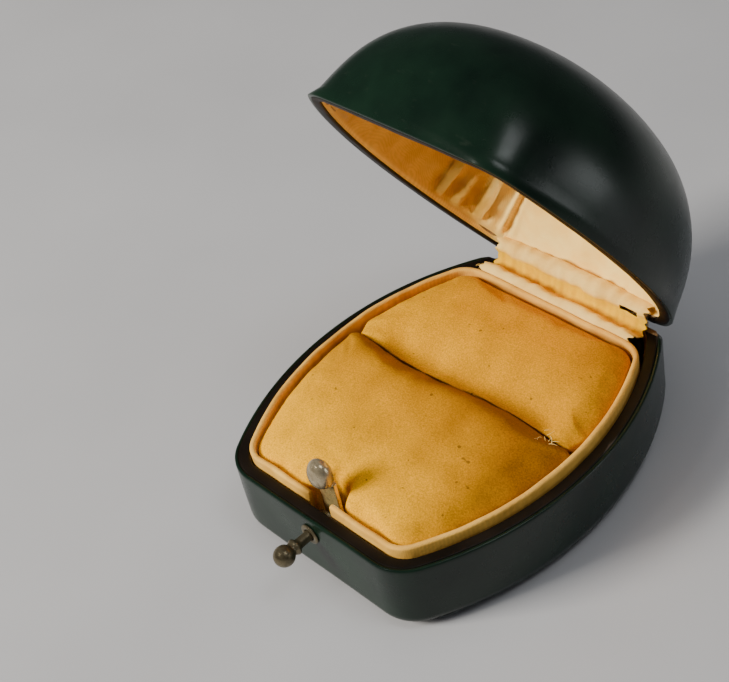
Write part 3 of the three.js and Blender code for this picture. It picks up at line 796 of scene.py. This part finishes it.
def frayed_threads(name, spots, length, radius, body, seed):
    """Loose threads: thin bent tubes that start at the given (x, y, z, heading) and lie near the cloth."""
    draws = np.random.default_rng(seed)
    points, faces = [], []
    sides = np.linspace(0, 2 * pi, 6, endpoint=False)
    steps = np.linspace(0, 1, 12)
    for x, y, z, heading in spots:
        turn, lift = draws.uniform(-1.4, 1.4), draws.uniform(0.1, 0.45)
        run = length * draws.uniform(0.6, 1.2)
        angle = heading + turn * steps
        path = np.column_stack([x + np.cumsum(np.cos(angle)) * run / len(steps),
                                y + np.cumsum(np.sin(angle)) * run / len(steps),
                                z + lift * np.sin(steps * pi) * run * 0.5])
        start = len(points)
        for step, spot in enumerate(path):
            side = np.array([-sin(angle[step]), cos(angle[step]), 0])
            size = radius * (1 - 0.4 * steps[step])
            for a in sides:
                points.append(spot + size * (side * cos(a) + np.array([0, 0, sin(a)])))
        faces += [tuple(start + i for i in face) for face in ring_faces(len(path), len(sides))]
        faces.append(tuple(start + i for i in reversed(range(len(sides)))))
        faces.append(tuple(start + (len(steps) - 1) * len(sides) + i for i in range(len(sides))))
    piece = new_piece(name, points, faces, body)
    return piece


def slot_threads():
    draws = np.random.default_rng(81)
    spots = [(draws.uniform(14.8, 17.6), draws.uniform(-0.8, 1.6), RIM + draws.uniform(1.5, 1.9),
              draws.uniform(0, 2 * pi)) for _ in range(10)]
    return frayed_threads("slot_threads", spots, 1.2, 0.04, "base", 82)


# ---- lid ----

def oval_point(x, y):
    """Where the ray through (x, y) meets the oval of the lid's upper levels."""
    angle = np.arctan2(y, x)
    sum_of_powers = np.abs(np.cos(angle)) ** DOME_PLAN_POWER + np.abs(np.sin(angle)) ** DOME_PLAN_POWER
    length = sum_of_powers ** (-1 / DOME_PLAN_POWER)
    return length * np.cos(angle), length * np.sin(angle)


def dome_ring(slope, inset, height, rear_extra=0.0, rim_blend=DOME_RIM_BLEND):
    """One level of the dome: slope 0 at the rim, 1 at the top."""
    plan = outline(inset, inset + rear_extra)
    middle = -rear_extra / 2
    half_x = plan[:, 0].max()
    half_y = (DEPTH - rear_extra) / 2 - inset
    shrink = cos(pi / 2 * slope)
    rise = (1 - shrink ** DOME_SHRINK_POWER) ** (1 / DOME_RISE_POWER)
    blend = rim_blend + (1 - rim_blend) * rise ** DOME_PLAN_BLEND
    oval_x, oval_y = oval_point(plan[:, 0] / half_x, (plan[:, 1] - middle) / half_y)
    x = (plan[:, 0] * (1 - blend) + oval_x * half_x * blend) * shrink
    y = ((plan[:, 1] - middle) * (1 - blend) + oval_y * half_y * blend) * shrink
    z = np.full(len(plan), LID_RIM + height * rise)
    return np.column_stack([x, y + middle + DOME_LEAN * rise, z])


def lift_to_bevel(row, gap=0.0):
    """Raises the part of a ring behind the hinge to the lid's bevel."""
    limit = AXIS_Z + 0.12 + bevel_drop(row[:, 1]) + gap
    behind = row[:, 1] > AXIS_Y - 0.6
    row[:, 2] = np.where(behind, np.maximum(row[:, 2], limit), row[:, 2])
    return row


def dome_shell(outside, inside, edge):
    """Closed shell: outer rings up, inner rings down, edge rings between them at the rim."""
    rows = [*outside, *inside[::-1], *edge]
    count = len(rows[0])
    points = np.vstack([*rows, outside[-1].mean(axis=0), inside[-1].mean(axis=0)])
    faces = ring_faces(len(outside), count)
    offset = len(outside) * count
    faces += [tuple(i + offset for i in face) for face in ring_faces(len(inside) + len(edge), count)]
    last = (len(rows) - 1) * count
    around = [(i, (i + 1) % count) for i in range(count)]
    faces += [(last + i, last + j, j, i) for i, j in around]
    for i, j in around:
        faces.append((offset - count + i, offset - count + j, len(points) - 2))
        faces.append((offset + j, offset + i, len(points) - 1))
    return points, faces


DOME_LEVELS = np.linspace(0, 0.985, 34)
LINING_LEVELS = np.concatenate([np.linspace(0, DOME_LEVELS[2], 9)[:-1], DOME_LEVELS[2:]])


def lid_leather():
    """Skin over the dome, turned round the rim in a small lip."""
    outside = [dome_ring(t, 0, DOME_HEIGHT) for t in DOME_LEVELS]
    inside = [dome_ring(t, LEATHER, DOME_HEIGHT - LEATHER) for t in DOME_LEVELS]
    outside[0][:, 2] += 0.14
    edge = []
    for share, lift in ((0, 0.05), (0.5, 0), (0.8, 0.04)):
        ring = outside[0] * share + inside[0] * (1 - share)
        ring[:, 2] = LID_RIM + lift
        edge.append(ring)
    for ring in [*outside, *inside, *edge]:
        lift_to_bevel(ring)
    points, faces = dome_shell(outside, inside, edge)
    swell = 1 + 0.0012 * waves(points[:, 0] + points[:, 2], points[:, 1] - points[:, 2], 17, 41)
    points[:, 0] *= swell
    return new_piece("lid_leather_skin", opened(points), faces, "lid", "lid_leather", slot="green_leather")


def lid_facing():
    """Flat mating face of the lid, which follows the lid's bevel at the rear."""
    high = LID_RIM + FACING
    profile = [(0.56, high), (0.54, LID_RIM + 0.1), (0.62, LID_RIM + 0.01), (1.3, LID_RIM),
               (2.05, LID_RIM + 0.01), (2.14, LID_RIM + 0.1), (2.15, high)]
    rows = []
    for inset, z in profile:
        row = dome_ring(0, inset, DOME_HEIGHT, rim_blend=DOME_RIM_BLEND * (inset < 1))
        row[:, 2] = z
        clear_barrel(row)
        row[:, 2] += 0.02 * waves(row[:, 0], row[:, 1], 7, 51)
        rows.append(lift_to_bevel(row, z - LID_RIM))
    rows = [opened(row) for row in rows]
    return band_piece("lid_rim_face", rows, "lid", "lid_rim_facing", slot="black_leather")


def lid_lining():
    """Padded silk: thin beside the collar, then full, with gathers at the corners."""
    outside = [dome_ring(t, LINING_BACK, DOME_HEIGHT - 2.6, LINING_REAR_EXTRA) for t in LINING_LEVELS]
    inside = []
    for t in LINING_LEVELS:
        fat = smoothstep(t, 0.03, 0.16)
        ring = dome_ring(t, LINING_FACE + fat, DOME_HEIGHT - 2.75 - 1.1 * fat, LINING_REAR_EXTRA)
        angle = np.arctan2(ring[:, 1] - DOME_MIDDLE_Y, ring[:, 0])
        fade = smoothstep(t, 0.0, 0.06) * (1 - smoothstep(t, 0.55, 0.95))
        gathers = np.zeros(len(ring))
        for at, width, depth in GATHERS:
            off = (angle - at + pi) % (2 * pi) - pi
            gathers += depth * np.exp(-(off / width) ** 2) * np.cos(off / width * 3.2)
        streaks = 0.10 * waves(angle * 20, ring[:, 2] * 3.5, 6, 72)
        streaks += 0.08 * waves(angle * 60, ring[:, 2], 7, 73)
        pull = 1 - (gathers * fade + streaks * smoothstep(t, 0.0, 0.05)) / 20
        ring[:, 0] *= pull
        ring[:, 1] = (ring[:, 1] - DOME_MIDDLE_Y) * pull + DOME_MIDDLE_Y
        inside.append(ring)
    layers = ((outside, LINING_BACK, POCKET_BACK_Y), (inside, LINING_FACE, POCKET_FACE_Y))
    for rings, inset, pocket_y in layers:
        plan = outline(inset, inset + LINING_REAR_EXTRA)
        for ring in rings:
            upright = 1 - smoothstep(ring[:, 2], COLLAR_TOP + 0.15, COLLAR_TOP + 0.6)[:, None]
            ring[:, :2] = ring[:, :2] * (1 - upright) + plan * upright
            pocket = 1 - smoothstep(np.abs(ring[:, 0]), *POCKET_HALF)
            pocket *= (1 - smoothstep(ring[:, 2], *POCKET_TOP)) * (ring[:, 1] < -15)
            ring[:, 1] = np.minimum(ring[:, 1], ring[:, 1] * (1 - pocket) + pocket_y * pocket)
            ring[:, 2] = np.maximum(ring[:, 2], LID_RIM + FACING + 0.05)
    points, faces = dome_shell(outside, inside, [])
    piece = new_piece("lid_silk", opened(points), faces, "lid", "lid_lining", slot="lining_silk")
    set_tone(piece, lining_lit_rear_and_edge)
    return piece


def lining_lit_rear_and_edge(points):
    """Cream over the rear of the lid, painted light where the light falls, and a cream edge along its rim;
    ochre elsewhere, partly painted shade.
    """
    closed = opened(points, -LID_OPEN)
    from_rear = np.abs(degrees(1) * np.arctan2(closed[:, 1] - DOME_MIDDLE_Y, closed[:, 0]) - 90)
    # Painted light: the cream over the lit rear.
    rear = 1 - smoothstep(from_rear + 3 * waves(closed[:, 2], from_rear, 9, 71), 34, 42)
    edge = 1 - smoothstep(closed[:, 2], LID_RIM + 0.7, LID_RIM + 1.3)
    return np.clip(rear + 0.8 * edge, 0, 1)


# Polar angle, width and depth of the folds in the lid's silk
GATHERS = [(radians(a), radians(w), d) for a, w, d in (
    (146, 3.5, 1.5), (138, 2.6, 1.3), (130, 3.0, 1.5), (121, 2.4, 0.8), (163, 4, 0.5),
    (50, 3.0, 1.3), (42, 2.6, 1.2), (33, 3.5, 1.2), (16, 4, 0.5),
    (-42, 5, 0.6), (-138, 5, 0.6), (178, 6, 0.35), (90, 7, 0.3), (0, 6, 0.35),
)]


# ---- silk over the hinge ----

# From behind the collar to the lid's lining: (towards the rear, up) from the hinge's axis
SILK_LINE = [(-4.4, -2.2), (-4.7, 0.6), (-4.98, 1.7), (-4.8, 2.45), (-4.2, 2.8), (-3.55, 2.45), (-3.1, 1.8),
             (-2.6, 1.35), (-2.0, 1.55), (-1.6, 2.3), (-1.45, 3.1), (-1.5, 3.65), (-1.2, 4.3), (-0.5, 4.7),
             (0.4, 4.6), (1.0, 4.15), (1.2, 3.75)]
# Place of the recess between the silk's two rolls, as a share of the line's length
RECESS_AT = 0.6
# Half the silk's width
SILK_HALF = 13.3
# Short tear at the right end: along the hinge, and as shares of the line's length
TEAR_X = (8.9, 11.9)
TEAR_AT = (0.69, 0.75)


def smooth_line(points, steps):
    """Catmull-Rom curve through points, resampled evenly."""
    points = np.array(points, float)
    padded = np.vstack([2 * points[0] - points[1], points, 2 * points[-1] - points[-2]])
    out = []
    for i in range(1, len(padded) - 2):
        p0, p1, p2, p3 = padded[i - 1:i + 3]
        for t in np.linspace(0, 1, 12, endpoint=False):
            out.append(0.5 * (2 * p1 + (p2 - p0) * t + (2 * p0 - 5 * p1 + 4 * p2 - p3) * t ** 2
                              + (3 * p1 - p0 - 3 * p2 + p3) * t ** 3))
    out.append(points[-1])
    out = np.array(out)
    length = np.concatenate([[0], np.cumsum(np.linalg.norm(np.diff(out, axis=0), axis=1))])
    wanted = np.linspace(0, length[-1], steps)
    return np.column_stack([np.interp(wanted, length, out[:, k]) for k in range(2)]), length[-1]


def hinge_silk():
    """Gathered gusset from behind the collar to the lid, in two soft rolls, frayed at both ends."""
    line, length = smooth_line(SILK_LINE, 90)
    tangent = np.gradient(line, axis=0)
    tangent /= np.linalg.norm(tangent, axis=1)[:, None]
    normal = np.column_stack([-tangent[:, 1], tangent[:, 0]])
    v = np.linspace(0, 1, len(line))
    free = smoothstep(v, 0.3, 0.42) * smoothstep(-v, -1, -0.9)
    recess = np.exp(-((v - RECESS_AT) / 0.10) ** 2)
    rows = []
    for u in np.linspace(-1, 1, 260):
        x = u * SILK_HALF
        soft = 0.10 * waves(x, v * 9, 2.6, 61) + 0.14 * waves(x, v * 6, 7, 62)
        gather = 0.05 * waves(x, v * 5, 1.5, 65) * (0.3 + recess)
        off = free * (soft + gather - 0.25 * abs(u) ** 6)
        spot = line + normal * off[:, None]
        fray = 0.3 * waves(v * 14, 0, 1.1, 63 if u < 0 else 64)
        xs = x + np.sign(u) * abs(u) ** 40 * fray
        rows.append(np.column_stack([xs, AXIS_Y + spot[:, 0], AXIS_Z + spot[:, 1]]))
    count = len(line)
    torn_rows = range(*np.searchsorted(np.linspace(-1, 1, len(rows)) * SILK_HALF, TEAR_X))
    torn_steps = range(*np.searchsorted(v, TEAR_AT))
    faces = [face for face in ring_faces(len(rows), count, False, False)
             if not (face[0] // count in torn_rows and face[0] % count in torn_steps)]
    piece = new_piece("hinge_silk_folds", np.vstack(rows), faces, None)
    thicken(piece, 0.14)
    set_tone(piece, recess_tone)
    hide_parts("hinge_silk")
    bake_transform(piece)
    return piece


def recess_tone(points):
    """Golden silk in the recess between the two rolls."""
    y, z = points[:, 1] - AXIS_Y, points[:, 2] - AXIS_Z
    patch = 0.15 * waves(points[:, 0], z * 2, 5, 66)
    recess = np.exp(-((y + 2.0) / 1.0) ** 4 - ((z - 2.2) / 1.35) ** 4)
    return np.clip(1.4 * recess + patch - 0.1, 0, 1)


def silk_threads():
    draws = np.random.default_rng(83)
    spots = [(-SILK_HALF + draws.uniform(-0.1, 0.4), AXIS_Y + draws.uniform(-4.9, -3.9),
              AXIS_Z + draws.uniform(1.6, 2.7), pi + draws.uniform(-0.5, 0.5)) for _ in range(12)]
    return frayed_threads("silk_threads", spots, 1.0, 0.03, "base", 84)


# ---- catch and button ----

def catch():
    """Flat neck with an oval domed head; the head's underside is the hook."""
    low, high = box_mm("catch_tongue")
    top, foot = high[2], low[2]
    foot_half, neck_half, head_half = 2.3, 1.7, 1.85
    head_tall = 2.4
    head_z = top - head_tall
    face = -DEPTH / 2 + 4
    back = face + 0.7
    sides = 48
    angles = np.linspace(0, 2 * pi, sides, endpoint=False)

    def section(half_width, z, power, front=face, rear=back):
        c, s = np.cos(angles), np.sin(angles)
        x = half_width * np.sign(c) * np.abs(c) ** power
        y = (front + rear) / 2 + (rear - front) / 2 * np.sign(s) * np.abs(s) ** power
        return np.column_stack([x, y, np.full(sides, z)])

    rows = [section(2.1, foot, 0.3, face + 0.1, back - 0.1), section(foot_half, foot + 0.2, 0.25),
            section(foot_half, foot + 1.3, 0.25), section(1.75, foot + 1.9, 0.25)]
    rows += [section(neck_half, z, 0.25) for z in np.linspace(foot + 3, HOOK_Z - 0.15, 8)]
    rows.append(section(1.72, HOOK_Z - 0.04, 0.3, face - 0.03, back + 0.03))
    rows.append(section(1.55, HOOK_Z, 0.85, face - 1.35, back + 0.25))
    for t in np.linspace((HOOK_Z - head_z) / head_tall + 0.06, 0.985, 18):
        round_off = sqrt(1 - t * t)
        rows.append(section(head_half * round_off ** 0.95, head_z + head_tall * t, 0.95,
                            face - 0.3 - 1.5 * round_off, face - 0.3 + 1.5 * round_off))
    faces = ring_faces(len(rows), sides)
    faces += [tuple(reversed(range(sides))), tuple(range((len(rows) - 1) * sides, len(rows) * sides))]
    piece = new_piece("catch_hook", np.vstack(rows), faces, "catch", "catch_tongue", slot="catch_steel")
    subdivide(piece)
    return piece


def button():
    """Stem with a neck and a ball for its head; the profile starts inside the box."""
    low, high = box_mm("push_button")
    radius = high[0]
    centre = low[1] + radius
    stem = 0.7
    ball = [(radius * sin(a), centre + radius * cos(a)) for a in np.linspace(0.2 * pi, pi, 24)]
    ball[-1] = (0.0005, ball[-1][1])
    neck = [(0.0005, high[1]), (stem - 0.08, high[1]), (stem, high[1] - 0.1), (stem, -26.0), (stem, -28.9),
            (stem + 0.05, -29.3), (1.0, -29.5), (1.12, -29.65), (1.12, -29.9), (1.0, -30.02)]
    return turned_piece("button_stem", neck + ball, "button", "push_button", slot="button_brass")


def ferrule():
    """Flanged bush that the button's stem slides in."""
    profile = [(0.85, -27.3), (0.9, -27.36), (1.2, -27.38), (1.42, -27.3), (1.5, -27.2), (1.48, -27.05),
               (1.1, -27.04), (1.1, -24.95), (0.85, -24.95)]
    return turned_piece("ferrule", profile, "base", "button_ferrule", slot="button_brass")


# ---- stage, light and camera ----

CAMERA_AZIMUTH = radians(54.6)
CAMERA_ELEVATION = radians(41.1)
CAMERA_ROLL = radians(-13.46)
CAMERA_DISTANCE = 218.0
CAMERA_TARGET = (-17.6, 0.5)
CAMERA_LENS = 77.2
LIT_POINT = Vector((0, 0, 0.02))


def camera():
    """The photo's point of view."""
    a, e = CAMERA_AZIMUTH, CAMERA_ELEVATION
    back = Vector((sin(a) * cos(e), -cos(a) * cos(e), sin(e)))
    right = Vector((cos(a), sin(a), 0))
    up = back.cross(right)
    c, s = cos(CAMERA_ROLL), sin(CAMERA_ROLL)
    right, up = right * c + up * s, up * c - right * s
    matrix = Matrix((right, up, back)).transposed().to_4x4()
    matrix.translation = (Vector((*CAMERA_TARGET, RIM)) + back * CAMERA_DISTANCE) * MM
    data = bpy.data.cameras.new("camera")
    data.lens = CAMERA_LENS
    data.clip_start = 0.005
    data.clip_end = 5
    lens = add_object("camera", data)
    lens.matrix_world = matrix
    bpy.context.scene.camera = lens


def area_light(name, place, size, power, color):
    """A rectangular light that points at the middle of the box."""
    data = bpy.data.lights.new(name, "AREA")
    data.shape = "RECTANGLE"
    data.size, data.size_y = size
    data.energy = power
    data.color = color
    light = add_object(name, data)
    light.location = place
    light.rotation_euler = (LIT_POINT - Vector(place)).to_track_quat("-Z", "Y").to_euler()
    return light


def studio():
    size = 3.0
    floor_mesh = bpy.data.meshes.new("floor")
    floor_mesh.from_pydata([(-size, -size, 0), (size, -size, 0), (size, size, 0), (-size, size, 0)], [],
                           [(0, 1, 2, 3)])
    floor = add_object("floor", floor_mesh)
    f = Finish("floor", Roughness=0.4)
    f.color(f.ramp(f.noise(40, 3), (0.3, (0.40, 0.40, 0.415)), (0.7, (0.43, 0.43, 0.445))))
    f.on(floor)
    key = area_light("key", (-0.30, -0.52, 0.36), (0.22, 0.22), 9, (1.0, 0.95, 0.86))
    key.visible_glossy = False
    area_light("glint", (-0.12, -0.34, 0.42), (0.05, 0.07), 0.25, (1.0, 0.97, 0.9))
    fill = area_light("fill", (0, 0.05, 0.9), (0.8, 0.8), 2.6, (0.97, 0.98, 1.0))
    fill.visible_glossy = False
    area_light("upper_window", (0.28, 0.08, 0.63), (0.16, 0.22), 0.7, (0.95, 0.98, 1.0))
    area_light("side_window", (0.60, 0.35, 0.16), (0.22, 0.26), 0.6, (0.95, 0.98, 1.0))
    world = bpy.data.worlds.new("studio")
    world.use_nodes = True
    background = world.node_tree.nodes["Background"].inputs
    background["Color"].default_value = (0.85, 0.88, 0.92, 1)
    background["Strength"].default_value = 0.08
    bpy.context.scene.world = world


# ---- build ----

camera()
studio()

leather = green_leather()
rim_leather = black_leather()
pile = velvet()
cream = silk("cream_silk", (0.80, 0.50, 0.12), (0.97, 0.71, 0.24), (0.72, 0.37, 0.003), (0.92, 0.56, 0.01),
             (1.0, 0.8, 0.45))
peach = silk("collar_cover", (0.64, 0.32, 0.05), (0.90, 0.52, 0.10), (0.6, 0.3, 0.06), (0.8, 0.46, 0.13),
             (1.0, 0.8, 0.5), 0.22)
# On the lining, the cream tone at the rear is painted light and the ochre is partly painted shade.
lining = silk("lining_silk", (0.60, 0.31, 0.04), (0.80, 0.48, 0.09), (0.95, 0.60, 0.15), (1.0, 0.76, 0.26),
              (1.0, 0.8, 0.45))
brass = metal("hinge_brass", (0.42, 0.29, 0.12), (0.62, 0.46, 0.22), (0.16, 0.10, 0.05))
button_brass = metal("button_brass", (0.10, 0.08, 0.045), (0.24, 0.20, 0.12), (0.035, 0.03, 0.02))
# Pale brass below the hook: partly a painted reflection on the catch's neck.
steel = metal("catch_steel", (0.36, 0.29, 0.18), (0.60, 0.51, 0.34), (0.20, 0.14, 0.07), 0.16, 0.34,
              lower=(0.66, 0.50, 0.20), change_z=HOOK_Z)
paper = card("black_paper", (0.012, 0.013, 0.012), (0.035, 0.035, 0.032))
grey_card = card("card", (0.20, 0.16, 0.11), (0.36, 0.30, 0.22))
plain_wood = wood()

leather.on(base_leather(), lid_leather())
rim_leather.on(base_facing(), lid_facing())
paper.on(underside())
peach.on(collar())
cream.on(hinge_silk(), silk_threads(), slot_threads())
pile.on(cushion(True), cushion(False), slot_fold())
lining.on(lid_lining())
steel.on(catch())
button_brass.on(button(), ferrule())

CAD_FINISHES = {
    "carcass_wood": plain_wood, "card": grey_card, "hinge_brass": brass, "catch_steel": steel,
    "button_brass": button_brass, "green_leather": leather, "black_leather": rim_leather,
    "black_paper": paper, "ochre_velvet": pile, "cream_silk": cream, "lining_silk": lining,
}
for part in frame["record"]["subparts"]:
    CAD_FINISHES[part["material_slot"]].on(frame["nodes"][part["node"]])
